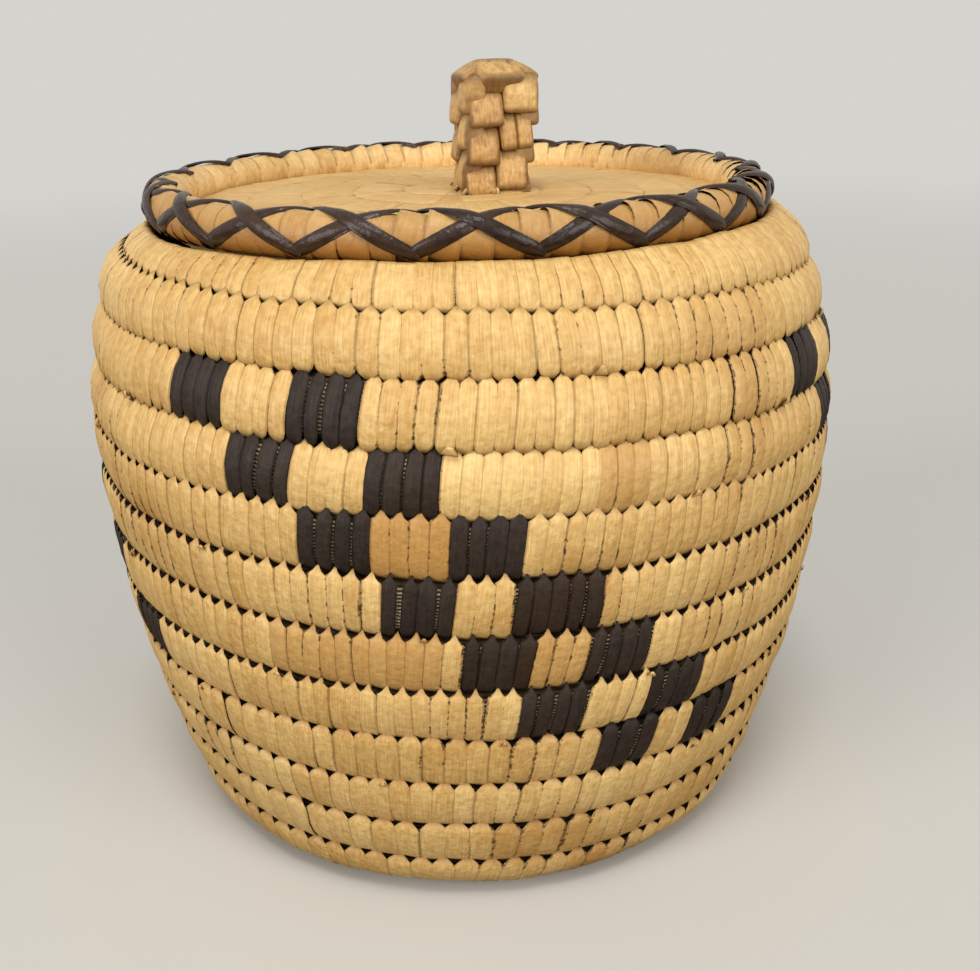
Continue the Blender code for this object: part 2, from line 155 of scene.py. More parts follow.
paper, tree, add, shader = new_material("matt paper floor")
ray = add("ShaderNodeLightPath")
shade = add(MIX, COLOURS, {0: ray.outputs["Is Camera Ray"], 6: linear(FLOOR_BOUNCE), 7: linear(FLOOR_SEEN)})
tree.links.new(shade.outputs[2], shader.inputs["Base Color"])
shader.inputs["Roughness"].default_value = 0.85
spot = add("ShaderNodeTexCoord").outputs["Object"]
reach = add(VECTOR_MATH, "LENGTH", (spot,)).outputs["Value"]
faded = add(MAP_RANGE, {"interpolation_type": "SMOOTHSTEP"}, (reach, *FLOOR_FADE, 0.0, 1.0))
pale = add("ShaderNodeEmission", {}, (linear(SKY_COLOUR), SKY_SEEN))
blend = add("ShaderNodeMixShader", {}, (faded, shader, pale))
tree.links.new(blend.outputs[0], tree.nodes["Material Output"].inputs["Surface"])
work = bmesh.new()
bmesh.ops.create_grid(work, x_segments=1, y_segments=1, size=FLOOR_SIZE)
floor = add_mesh("floor", work)
floor.data.materials.append(paper)

for name, (place, size, power) in LAMPS.items():
    lamp_data = bpy.data.lights.new(name, "AREA")
    lamp_data.shape = "DISK"
    lamp_data.size = size
    lamp_data.energy = power
    lamp = add_object(name, lamp_data)
    lamp.location = place
    lamp.rotation_euler = (LAMP_AIM - lamp.location).to_track_quat("-Z", "Y").to_euler()

sky = bpy.data.worlds.new("pale room")
scene.world = sky
sky.use_nodes = True
tree = sky.node_tree
add = partial(add_node, tree)
ray = add("ShaderNodeLightPath")
seen = add(MATH, "MAXIMUM", (ray.outputs["Is Camera Ray"], ray.outputs["Is Glossy Ray"]))
strength = add(MAP_RANGE, {}, (seen, 0.0, 1.0, SKY_LIGHT, SKY_SEEN))
tree.nodes["Background"].inputs["Color"].default_value = linear(SKY_COLOUR)
tree.links.new(strength.outputs[0], tree.nodes["Background"].inputs["Strength"])


# Grass bundle of the wall and base
# One bundle of dry grass stems runs as a coil from the centre of the base up to
# the mouth. It shows as pale threads where two dark stitches stand apart.
COIL_PITCH = 0.01438
COIL_THICKNESS = 0.010
COIL_END_HEIGHT = 0.0028
SECOND_COURSE_NARROWING = 0.0013
NARROWING_START_TURNS = 0.5
BASE_FLAT_DEPTH = 0.0005
BELLY_RADIUS = 0.100
BELLY_HEIGHT = 0.118
FOOT_RADIUS = 0.0785
LOWER_CURVE = 2.2
NECK_RADIUS = 0.0898
NECK_HEIGHT = 0.164
UPPER_CURVE = 1.45
FOOT_BEND_HEIGHT = 0.009
SHOULDER_BEND_HEIGHT = 0.151
MOUTH = Vector((0.0807, 0.1601))
MOUTH_LEAN = math.radians(58)
CENTRE_HOLE = 0.0003
BUNDLE_OUTWARD = 0.0040
BUNDLE_HALF_HEIGHT = 0.0069
BUNDLE_SIDES = 20
BUNDLE_STEPS = 72
BUNDLE_SQUARENESS = 0.75
WALL_STEPS = 60
# Turns that the coil's thin inner end goes on for
COIL_TAIL = 0.6
STEM_SPACING = 0.00085


def wall_middle(height):
    """Middle of the wall's thickness beside a height on the outside, and the wall's direction."""
    def outline(level):
        """Outside radius at a height."""
        if level < BELLY_HEIGHT:
            share = (BELLY_HEIGHT - level) / BELLY_HEIGHT
            return BELLY_RADIUS - (BELLY_RADIUS - FOOT_RADIUS) * share ** LOWER_CURVE
        share = (level - BELLY_HEIGHT) / (NECK_HEIGHT - BELLY_HEIGHT)
        return BELLY_RADIUS - (BELLY_RADIUS - NECK_RADIUS) * share ** UPPER_CURVE

    step = 0.0005
    direction = Vector((outline(height + step) - outline(height - step), 2 * step)).normalized()
    inward = Vector((-direction.y, direction.x))
    return Vector((outline(height), height)) + inward * COIL_THICKNESS / 2, direction


def bend_between(start, start_direction, end, end_direction, steps=12):
    """Points of the bend that leaves in one direction and arrives in another."""
    reach = (end - start).cross(end_direction) / start_direction.cross(end_direction)
    middle = start + start_direction * reach
    shares = [step / steps for step in range(steps + 1)]
    return [start * (1 - s) ** 2 + middle * 2 * s * (1 - s) + end * s ** 2 for s in shares]


def line_object(name, points):
    """Curve in the XZ plane through (radius, height) points, for the node trees to read."""
    curve = bpy.data.curves.new(name, "CURVE")
    curve.dimensions = "3D"
    spline = curve.splines.new("POLY")
    spline.points.add(len(points) - 1)
    for point, place in zip(spline.points, points):
        point.co = (place.x, 0.0, place.y, 1.0)
    return add_object(name, curve)


def new_tree(name, inputs, outputs):
    """Geometry node tree with named inputs and outputs: tree, its add_node, given sockets, output node."""
    tree = bpy.data.node_groups.new(name, "GeometryNodeTree")
    for in_out, sockets in (("INPUT", inputs), ("OUTPUT", outputs)):
        for label, kind in sockets.items():
            tree.interface.new_socket(name=label, in_out=in_out, socket_type="NodeSocket" + kind)
    given = tree.nodes.new("NodeGroupInput").outputs
    return tree, partial(add_node, tree), given, tree.nodes.new("NodeGroupOutput")


def end_tree(tree, add, given, output, shape):
    """End a tree with its shape as real geometry in the given material."""
    real = add("GeometryNodeRealizeInstances", {}, (shape,))
    dressed = add("GeometryNodeSetMaterial", {}, {"Geometry": real, "Material": given["Material"]})
    tree.links.new(dressed.outputs[0], output.inputs[0])


def bake(name, tree, values):
    """Finished mesh object of a tree whose named inputs have these values."""
    maker = add_object(name + "_maker", bpy.data.meshes.new(name + "_maker"))
    modifier = maker.modifiers.new("maker", "NODES")
    modifier.node_group = tree
    for item in tree.interface.items_tree:
        if item.in_out == "INPUT" and item.name in values:
            modifier[item.identifier] = values[item.name]
    graph = bpy.context.evaluated_depsgraph_get()
    mesh = bpy.data.meshes.new_from_object(maker.evaluated_get(graph), depsgraph=graph)
    mesh.name = name
    bpy.data.objects.remove(maker)
    return add_object(name, mesh)


floor_level = COIL_THICKNESS / 2 - BASE_FLAT_DEPTH
foot_end, foot_direction = wall_middle(FOOT_BEND_HEIGHT)
knee = foot_end.x - (foot_end.y - floor_level) * foot_direction.x / foot_direction.y
flat_radius = knee - (foot_end - Vector((knee, floor_level))).length
shoulder, shoulder_direction = wall_middle(SHOULDER_BEND_HEIGHT)
mouth_direction = Vector((-math.sin(MOUTH_LEAN), math.cos(MOUTH_LEAN)))
wall_points = [Vector((0.0, floor_level))]
flat_end = Vector((flat_radius, floor_level))
wall_points += bend_between(flat_end, Vector((1.0, 0.0)), foot_end, foot_direction)
wall_points += [wall_middle(height)[0]
                for height in np.linspace(FOOT_BEND_HEIGHT, SHOULDER_BEND_HEIGHT, WALL_STEPS)[1:-1]]
wall_points += bend_between(shoulder, shoulder_direction, MOUTH, mouth_direction)
wall_length = sum((b - a).length for a, b in zip(wall_points, wall_points[1:]))
coil_length = wall_length - COIL_END_HEIGHT + SECOND_COURSE_NARROWING - CENTRE_HOLE
body_turns = coil_length / COIL_PITCH + COIL_TAIL
body_line = line_object("body_line", wall_points)

COIL_INPUTS = {"Line": "Object", "Pitch": "Float", "End height": "Float", "Narrowing": "Float",
               "Centre hole": "Float"}
BODY_COIL = {"Line": body_line, "Pitch": COIL_PITCH, "End height": COIL_END_HEIGHT,
             "Narrowing": SECOND_COURSE_NARROWING, "Centre hole": CENTRE_HOLE}

# Where a coil is after some turns, counted from its outer end, and some way along
# the line from the middle of its course
coil_place, add, given, output = new_tree(
    "Place on a coil", {**COIL_INPUTS, "Turns": "Float", "Along": "Float"},
    {"Point": "Vector", "Up": "Vector", "Outward": "Vector", "Share": "Float"})
line = add("GeometryNodeObjectInfo", {}, (given["Line"],)).outputs["Geometry"]
length = add("GeometryNodeCurveLength", {}, (line,))
edges = []
for course in (0.0, 1.0):
    passed = add(MATH, "SUBTRACT", (given["Turns"], course))
    narrowed = add(MAP_RANGE, {"interpolation_type": "SMOOTHSTEP"},
                   (passed, NARROWING_START_TURNS, NARROWING_START_TURNS + 1, 0.0, given["Narrowing"]))
    fallen = add(MATH, "MULTIPLY_ADD", (passed, given["Pitch"], given["End height"]))
    rest = add(MATH, "SUBTRACT", (length, fallen))
    edges.append(add(MATH, "ADD", (rest, narrowed)))
low = add(MATH, "MAXIMUM", (edges[0], given["Centre hole"]))
high = add(MATH, "MINIMUM", (edges[1], length))
height = add(MATH, "SUBTRACT", (high, low))
share = add(MATH, "DIVIDE", (height, given["Pitch"]))
middle = add(MATH, "MULTIPLY_ADD", (height, 0.5, low))
shifted = add(MATH, "MULTIPLY_ADD", (given["Along"], share, middle))
on_line = add(MATH, "MINIMUM", (add(MATH, "MAXIMUM", (shifted, 0.0)), length))
sample = add("GeometryNodeSampleCurve", {"mode": "LENGTH"}, {"Curves": line, "Length": on_line})
past_end = add(MATH, "SUBTRACT", (shifted, on_line))
beyond = add(VECTOR_MATH, "SCALE", {0: sample.outputs["Tangent"], "Scale": past_end})
spot = add(VECTOR_MATH, "ADD", (sample.outputs["Position"], beyond))
angle = add(MATH, "MULTIPLY_ADD", (given["Turns"], math.tau, math.radians(-270)))
spun = []
for direction in (spot, sample.outputs["Tangent"], (0.0, 1.0, 0.0)):
    spun.append(add("ShaderNodeVectorRotate", {"rotation_type": "Z_AXIS"},
                    {"Vector": direction, "Angle": angle}))
outward = add(VECTOR_MATH, "CROSS_PRODUCT", (spun[2], spun[1]))
for number, result in enumerate((spun[0], spun[1], outward, share)):
    coil_place.links.new(result.outputs[0], output.inputs[number])

# A tapering tube with a squarish section that follows the coil
bundle_tree, add, given, output = new_tree("Grass bundle", {
    **COIL_INPUTS, "Turns": "Float", "Outward": "Float", "Half height": "Float", "Steps": "Int",
    "Sides": "Int", "Material": "Material"}, {"Mesh": "Geometry"})
grid = add("GeometryNodeMeshGrid", {}, (1.0, 1.0, given["Sides"], given["Steps"]))
spot = add(SEPARATE, {}, (add("GeometryNodeInputPosition"),))
turn = add(MATH, "MULTIPLY", (spot.outputs["X"], math.tau))
passed = add(MATH, "ADD", (spot.outputs["Y"], 0.5))
turns = add(MATH, "MULTIPLY", (passed, given["Turns"]))
reaches = []
for operation, size in (("COSINE", "Outward"), ("SINE", "Half height")):
    wave = add(MATH, operation, (turn,))
    steep = add(MATH, "POWER", (add(MATH, "ABSOLUTE", (wave,)), BUNDLE_SQUARENESS))
    signed = add(MATH, "MULTIPLY", (steep, add(MATH, "SIGN", (wave,))))
    reaches.append(add(MATH, "MULTIPLY", (signed, given[size])))
here = add("GeometryNodeGroup", {"node_tree": coil_place}, {
    **{name: given[name] for name in COIL_INPUTS}, "Turns": turns, "Along": reaches[1]})
scaled = add(MATH, "MULTIPLY", (reaches[0], here.outputs["Share"]))
shift = add(VECTOR_MATH, "SCALE", {0: here.outputs["Outward"], "Scale": scaled})
place = add(VECTOR_MATH, "ADD", (here.outputs["Point"], shift))
strand = add(COMBINE, {}, (reaches[1], turns, reaches[0]))
named = add("GeometryNodeStoreNamedAttribute", {"data_type": "FLOAT_VECTOR"}, {
    "Geometry": grid, "Name": "strand", "Value": strand})
bent = add("GeometryNodeSetPosition", {}, {"Geometry": named, "Position": place})
welded = add("GeometryNodeMergeByDistance", {}, {"Geometry": bent, "Distance": 1e-5})
smooth = add("GeometryNodeSetShadeSmooth", {}, {"Geometry": welded})
end_tree(bundle_tree, add, given, output, smooth)

# Dry grass stems laid side by side, 0.85 mm apart: matt pale straw with painted shade in
# the grooves between the stems, so that it shows as a ladder of light dots, and painted
# brown shade near the seams, where the bundle lies in the shadow under the stitches.
grass, tree, add, shader = new_material("dry grass bundle")
strand = add(SEPARATE, {}, (add("ShaderNodeAttribute", {"attribute_name": "strand"}).outputs["Vector"],))
spot = add("ShaderNodeTexCoord").outputs["Object"]
drift = add(NOISE, {}, {"Vector": spot, "Scale": 260.0, "Detail": 1.0}).outputs["Fac"]
drift = add(MATH, "MULTIPLY", (drift, 5.0))
# Painted shade: each stem is pale straw, and the dark brown between the stems stands for the shade in the
# grooves
phase = add(MATH, "MULTIPLY_ADD", (strand.outputs["X"], math.tau / STEM_SPACING, drift))
stem = add(MATH, "SINE", (phase,))
stem_tone = add(MAP_RANGE, {}, (stem, -0.7, 0.5, 0.0, 1.0))
stems = add(MIX, COLOURS, {0: stem_tone, 6: linear("6B4E2C"), 7: linear("F2E2BC")})
# Painted shade: the bundle turns dark brown towards the seams, where it lies in the shadow under the
# stitches
far = add(MATH, "ABSOLUTE", (strand.outputs["X"],))
seam_shade_mask = add(MAP_RANGE, {}, (far, 0.0042, 0.0058, 0.0, 0.92))
seam_shaded = add(MIX, COLOURS, {0: seam_shade_mask, 6: stems.outputs[2], 7: linear("2E1D0E")})
shader.inputs["Specular IOR Level"].default_value = 0.1
tree.links.new(seam_shaded.outputs[2], shader.inputs["Base Color"])
shader.inputs["Roughness"].default_value = 0.75
stem_bump = add("ShaderNodeBump", {}, {"Strength": 0.6, "Distance": 0.0003, "Height": stem})
tree.links.new(stem_bump.outputs[0], shader.inputs["Normal"])

bundle = bake("grass_bundle", bundle_tree, {
    **BODY_COIL, "Turns": body_turns, "Outward": BUNDLE_OUTWARD, "Half height": BUNDLE_HALF_HEIGHT,
    "Steps": int(body_turns * BUNDLE_STEPS), "Sides": BUNDLE_SIDES + 1, "Material": grass})
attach(bundle, "basket")


# Wall stitches
# Split leaf strips are sewn side by side round the bundle. Each one bites into
# the course below between two older stitches, which gives the toothed seams.
STITCH_WIDTH = 0.0041
# Runs of even stitches: first and last turn, stitches to a turn, lean. A run with
# the spacing of the last one starts a whole number of stitches after it.
WALL_RUNS = ((0.0, 1.0, 127.5, 0.0), (128 / 127.5, 2.0, 127.5, 0.0), (2.0, 2 + 304 / 151.8, 151.8, 0.09),
             (2 + 304 / 151.8, 8.0, 151.8, 0.09), (8.0, 10.0, 111.7, 0.09), (10.0, 13.3333, 91.7, 0.09))
LEAST_RADIUS = 0.004
# A flat coil's stitches are spaced as if it were wider by this, so they crowd at its centre
CENTRE_CROWDING = 0.009
CENTRE_END = 0.0035
# Unevenness of hand work: scale of its waves, and reach in metres
HAND_WAVES = ((38.0, 0.0016), (230.0, 0.0004))
# Standing has pressed what lies below a level back up, by this share of its depth
BASE_PRESSING = 0.75
# Tones of the strips run from 0 to this
MOST_TONE = 2.2
# A leaf strip makes about eight stitches
STRIPS_PER_STITCH = 0.12
# Way round one stitch: outward and up the wall in mm, half width as a share of its width
STITCH_ROUTE = (
    (2.5, 8.6, 0.04), (2.95, 7.8, 0.13), (3.25, 7.1, 0.24), (3.45, 6.5, 0.37), (3.75, 5.95, 0.485),
    (4.75, 3.0, 0.50), (5.22, -0.2, 0.50), (5.05, -3.4, 0.50), (4.5, -5.7, 0.495), (4.05, -6.95, 0.42),
    (3.2, -8.1, 0.20), (0.0, -7.3, 0.24), (-3.6, -6.5, 0.48), (-4.8, -3.4, 0.50), (-4.8, 3.4, 0.50),
    (-3.6, 6.5, 0.48), (0.0, 7.3, 0.24),
)
# Along the mouth the upper ends are broad and turn over the edge
MOUTH_ROUTE = (
    (1.6, 8.2, 0.50), (3.0, 8.3, 0.50), (4.2, 7.4, 0.50), (4.75, 5.8, 0.50), *STITCH_ROUTE[5:14],
    (-4.6, 4.0, 0.50), (-3.3, 6.9, 0.50), (-0.6, 8.0, 0.50),
)
# Lower down the upper ends stand out as teeth over the nearly straight edge above
TOOTH_ROUTE = (
    (3.6, 9.2, 0.03), (4.3, 8.6, 0.12), (4.7, 8.0, 0.22), (4.9, 7.5, 0.34), (5.0, 7.0, 0.475),
    (5.2, 4.4, 0.50), (5.15, 1.0, 0.50), (4.75, -2.6, 0.50), (4.1, -5.2, 0.50), (3.4, -6.6, 0.495),
    (2.3, -7.7, 0.45), *STITCH_ROUTE[11:],
)
# At the foot these teeth are blunt
FOOT_ROUTE = ((3.5, 9.0, 0.14), (4.35, 8.6, 0.28), (4.85, 8.0, 0.39), (5.05, 7.3, 0.46), (5.15, 6.5, 0.50),
              *TOOTH_ROUTE[5:])
# The end of a strip, tucked in at the seam and curled
END_ROUTE = ((3.4, 6.3, 0.50), (4.7, 6.9, 0.50), (5.4, 7.7, 0.42), (5.6, 8.4, 0.25), (5.4, 8.8, 0.10),
             (5.1, 8.2, 0.28), (4.6, 7.6, 0.42), (3.6, 7.0, 0.50))
STITCH_CROWN = ((-1.0, -0.26), (-0.74, 0.0), (0.74, 0.0), (1.0, -0.26))
# Stair-step motifs: turns at which each one starts, and the sizes of its blocks in turns
MOTIF_ANGLE = 139
MOTIF_STARTS = {f"Motif {number}": course - 1 + (MOTIF_ANGLE + turn) / 360
                for number, course, turn in ((1, 3, 0.0), (2, 3, 92.2), (3, 3, 177.3), (4, 2, -97.5))}
BLOCK_SIZES = {"Block step": 9.65 / 360, "Block width": 9.6 / 360, "Flight offset": 18.4 / 360,
               "Blocks": 7.0}
# Lengths of a browner leaf: (middle, half length, strength), in turns
BROWN_LEAVES = ((4.4785, 0.013, 0.65), (6.458, 0.034, 0.5), (6.53, 0.015, 0.5), (3.553, 0.011, 0.45))


def skin_rows(work, layer, rows, crown):
    """Faces between rows of vertices, with the UV map across the strip and along it."""
    for index, (before, after) in enumerate(zip(rows, rows[1:])):
        for step in range(len(crown) - 1):
            face = work.faces.new((before[step], after[step], after[step + 1], before[step + 1]))
            face.smooth = True
            places = ((step, index), (step, index + 1), (step + 1, index + 1), (step + 1, index))
            for loop, (across, along) in zip(face.loops, places):
                loop[layer].uv = (0.5 + crown[across][0] / 2, along / (len(rows) - 1))


def strip_object(name, route, width, crown):
    """One strip that goes once round a bundle, with its edges a little lower than its middle."""
    work = bmesh.new()
    layer = work.loops.layers.uv.new("UVMap")
    rings = []
    for index, (out, along, share) in enumerate(route):
        before, after = route[index - 1], route[(index + 1) % len(route)]
        run = Vector((after[0] - before[0], after[1] - before[1])).normalized()
        normal = Vector((-run.y, run.x))
        ring = []
        for side, lift in crown:
            drop = lift * share * 2
            ring.append(work.verts.new(((out + normal.x * drop) / 1000, side * share * width,
                                        (along + normal.y * drop) / 1000)))
        rings.append(ring)
    skin_rows(work, layer, rings + rings[:1], crown)
    return add_mesh(name, work)


def strip_lean(add, given, place, wave_scale, own):
    """Sideways lean of each strip: the given one, a drift along the coil and its own."""
    drift = add(NOISE, {}, {"Vector": place, "Scale": wave_scale, "Detail": 1.0})
    drift = add(MATH, "SUBTRACT", (drift, 0.5))
    lean = add(MATH, "MULTIPLY_ADD", (drift, given["Lean spread"], given["Lean"]))
    lean = add(MATH, "ADD", (lean, own))
    return add(MATH, "MULTIPLY", (lean, -1.0))


stitch_tree, add, given, output = new_tree("Stitches round a coil", {
    **COIL_INPUTS, "Stitch": "Object", "Count": "Int", "First turn": "Float", "Per turn": "Float",
    "Width": "Float", "Flat": "Bool", "Outer radius": "Float", "Spacing": "Float", "Lean": "Float",
    "Lean spread": "Float", "Tightness": "Float", "Width spread": "Float", "Dark": "Float",
    **{name: "Float" for name in BLOCK_SIZES}, **{name: "Float" for name in MOTIF_STARTS},
    "Pressed below": "Float", "Seed": "Int", "Material": "Material"}, {"Mesh": "Geometry"})
rolls = {}
for number, (name, least, most) in enumerate((
        ("sway", -0.05, 0.05), ("width", -1.0, 1.0), ("height", 0.965, 1.02), ("depth", 0.985, 1.02),
        ("lean", -0.022, 0.022), ("twist", -0.05, 0.05), ("tone", 0.0, 1.0))):
    seed = add(MATH, "ADD", (given["Seed"], float(number)))
    rolls[name] = add("FunctionNodeRandomValue", {}, {2: least, 3: most, "Seed": seed}).outputs[1]

# Turns at which each stitch is: evenly round a wall, or by length along a flat spiral
index = add("GeometryNodeInputIndex")
swayed = add(MATH, "ADD", (index, rolls["sway"]))
even = add(MATH, "DIVIDE", (swayed, given["Per turn"]))
strip_area = add(MATH, "MULTIPLY", (given["Spacing"], given["Pitch"]))
covered = add(MATH, "MULTIPLY", (swayed, strip_area))
whole = add(MATH, "MULTIPLY", (given["Outer radius"], given["Outer radius"]))
left = add(MATH, "MULTIPLY_ADD", (covered, -1 / math.pi, whole))
inner = add(MATH, "SQRT", (left,))
fallen = add(MATH, "SUBTRACT", (given["Outer radius"], inner))
spiral = add(MATH, "DIVIDE", (fallen, given["Pitch"]))
passed = add("GeometryNodeSwitch", {"input_type": "FLOAT"}, (given["Flat"], even, spiral))
turns = add(MATH, "ADD", (passed, given["First turn"]))

# Which stitches belong to the dark stair-step blocks: two flights to a motif, one block to a course
stride = add(MATH, "ADD", (given["Block step"], 1.0))
half_block = add(MATH, "MULTIPLY", (given["Block width"], 0.5))
second = add(MATH, "ADD", (given["Flight offset"], half_block))
half_blocks = add(MATH, "MULTIPLY", (given["Blocks"], 0.5))
dark = 0.0
for name in MOTIF_STARTS:
    since = add(MATH, "SUBTRACT", (turns, given[name]))
    block = add(MATH, "FLOOR", (add(MATH, "DIVIDE", (since, stride)),))
    within = add(MATH, "FLOORED_MODULO", (since, stride))
    from_first = add(MATH, "COMPARE", (within, half_block, half_block))
    from_second = add(MATH, "COMPARE", (within, second, half_block))
    either = add(MATH, "MAXIMUM", (from_first, from_second))
    centred = add(MATH, "ADD", (block, 0.5))
    in_rows = add(MATH, "COMPARE", (centred, half_blocks, half_blocks))
    in_motif = add(MATH, "MULTIPLY", (either, in_rows))
    dark = add(MATH, "MAXIMUM", (in_motif, dark))
wanted = add(MATH, "COMPARE", (dark, given["Dark"], 0.5))

# Place, size and turn of each stitch
here = add("GeometryNodeGroup", {"node_tree": coil_place}, {
    **{name: given[name] for name in COIL_INPUTS}, "Turns": turns})
level_place = add(VECTOR_MATH, "MULTIPLY", (here.outputs["Point"], (1.0, 1.0, 0.0)))
radius = add(VECTOR_MATH, "LENGTH", (level_place,)).outputs["Value"]
round_wall = add(MATH, "MULTIPLY", (radius, math.tau))
even_space = add(MATH, "DIVIDE", (round_wall, given["Per turn"]))
space = add("GeometryNodeSwitch", {"input_type": "FLOAT"}, (given["Flat"], even_space, given["Spacing"]))
fitted = add(MATH, "DIVIDE", (space, given["Width"]))
tight = add(MATH, "MULTIPLY_ADD", (rolls["width"], given["Width spread"], given["Tightness"]))
size = add(COMBINE, {}, (rolls["depth"], add(MATH, "MULTIPLY", (fitted, tight)), rolls["height"]))
lean = strip_lean(add, given, here.outputs["Point"], 16.0, rolls["lean"])
tilt = add(COMBINE, {}, {0: lean, 2: rolls["twist"]})
turned = add("FunctionNodeEulerToRotation", {}, (tilt,))

# Tone of each stitch, shared in part by the stitches of one leaf strip
leaf_number = add(MATH, "FLOOR", (add(MATH, "MULTIPLY", (index, STRIPS_PER_STITCH)),))
leaf_tone = add("ShaderNodeTexWhiteNoise", {"noise_dimensions": "1D"}, {"W": leaf_number})
tone = add(MATH, "MULTIPLY_ADD", (leaf_tone, 1.2, rolls["tone"]))
brown = 0.0
for middle, half_length, strength in BROWN_LEAVES:
    near = add(MATH, "COMPARE", (turns, middle, half_length))
    brown = add(MATH, "MAXIMUM", (add(MATH, "MULTIPLY", (near, strength)), brown))
marked = add("GeometryNodePoints", {}, {"Count": given["Count"]})
for name, value in (("tone", tone), ("brown", brown), ("coil turns", turns), ("coil radius", radius)):
    marked = add("GeometryNodeStoreNamedAttribute", {}, {"Geometry": marked, "Name": name, "Value": value})
stitch = add("GeometryNodeObjectInfo", {}, (given["Stitch"],))
row = add("GeometryNodeInstanceOnPoints", {}, {
    "Points": marked, "Instance": stitch.outputs["Geometry"], "Rotation": turned, "Scale": size,
    "Selection": wanted})
real = add("GeometryNodeRealizeInstances", {}, (row,))

# Bend each stitch to the coil: its sides go round the basket, its length follows the line
local = add(SEPARATE, {}, (add("GeometryNodeInputPosition"),))
kept = {name: add("GeometryNodeInputNamedAttribute", {}, {"Name": name})
        for name in ("coil turns", "coil radius")}
widest_turn = add(MATH, "MAXIMUM", (kept["coil radius"], LEAST_RADIUS))
circle = add(MATH, "MULTIPLY", (widest_turn, math.tau))
sideways = add(MATH, "DIVIDE", (local.outputs["Y"], circle))
there = add("GeometryNodeGroup", {"node_tree": coil_place}, {
    **{name: given[name] for name in COIL_INPUTS}, "Along": local.outputs["Z"],
    "Turns": add(MATH, "ADD", (kept["coil turns"], sideways))})
scaled = add(MATH, "MULTIPLY", (local.outputs["X"], there.outputs["Share"]))
shift = add(VECTOR_MATH, "SCALE", {0: there.outputs["Outward"], "Scale": scaled})
place = add(VECTOR_MATH, "ADD", (there.outputs["Point"], shift))
real = add("GeometryNodeSetPosition", {}, {"Geometry": real, "Position": place})

# Hand work is a little uneven, and the base is pressed flat where it stands
moved = real
for scale, reach in HAND_WAVES:
    waves = add(NOISE, {}, {"Vector": add("GeometryNodeInputPosition"), "Scale": scale, "Detail": 1.0})
    centred = add(VECTOR_MATH, "SUBTRACT", (waves.outputs["Color"], (0.5, 0.5, 0.5)))
    offset = add(VECTOR_MATH, "SCALE", {0: centred, "Scale": reach})
    moved = add("GeometryNodeSetPosition", {}, {"Geometry": moved, "Offset": offset})
level = add(SEPARATE, {}, (add("GeometryNodeInputPosition"),)).outputs["Z"]
over = add(MATH, "SUBTRACT", (level, given["Pressed below"]))
under = add(MATH, "MINIMUM", (over, 0.0))
lifted = add(COMBINE, {}, {2: add(MATH, "MULTIPLY", (under, -BASE_PRESSING))})
pressed = add("GeometryNodeSetPosition", {}, {"Geometry": moved, "Offset": lifted})
end_tree(stitch_tree, add, given, output, pressed)
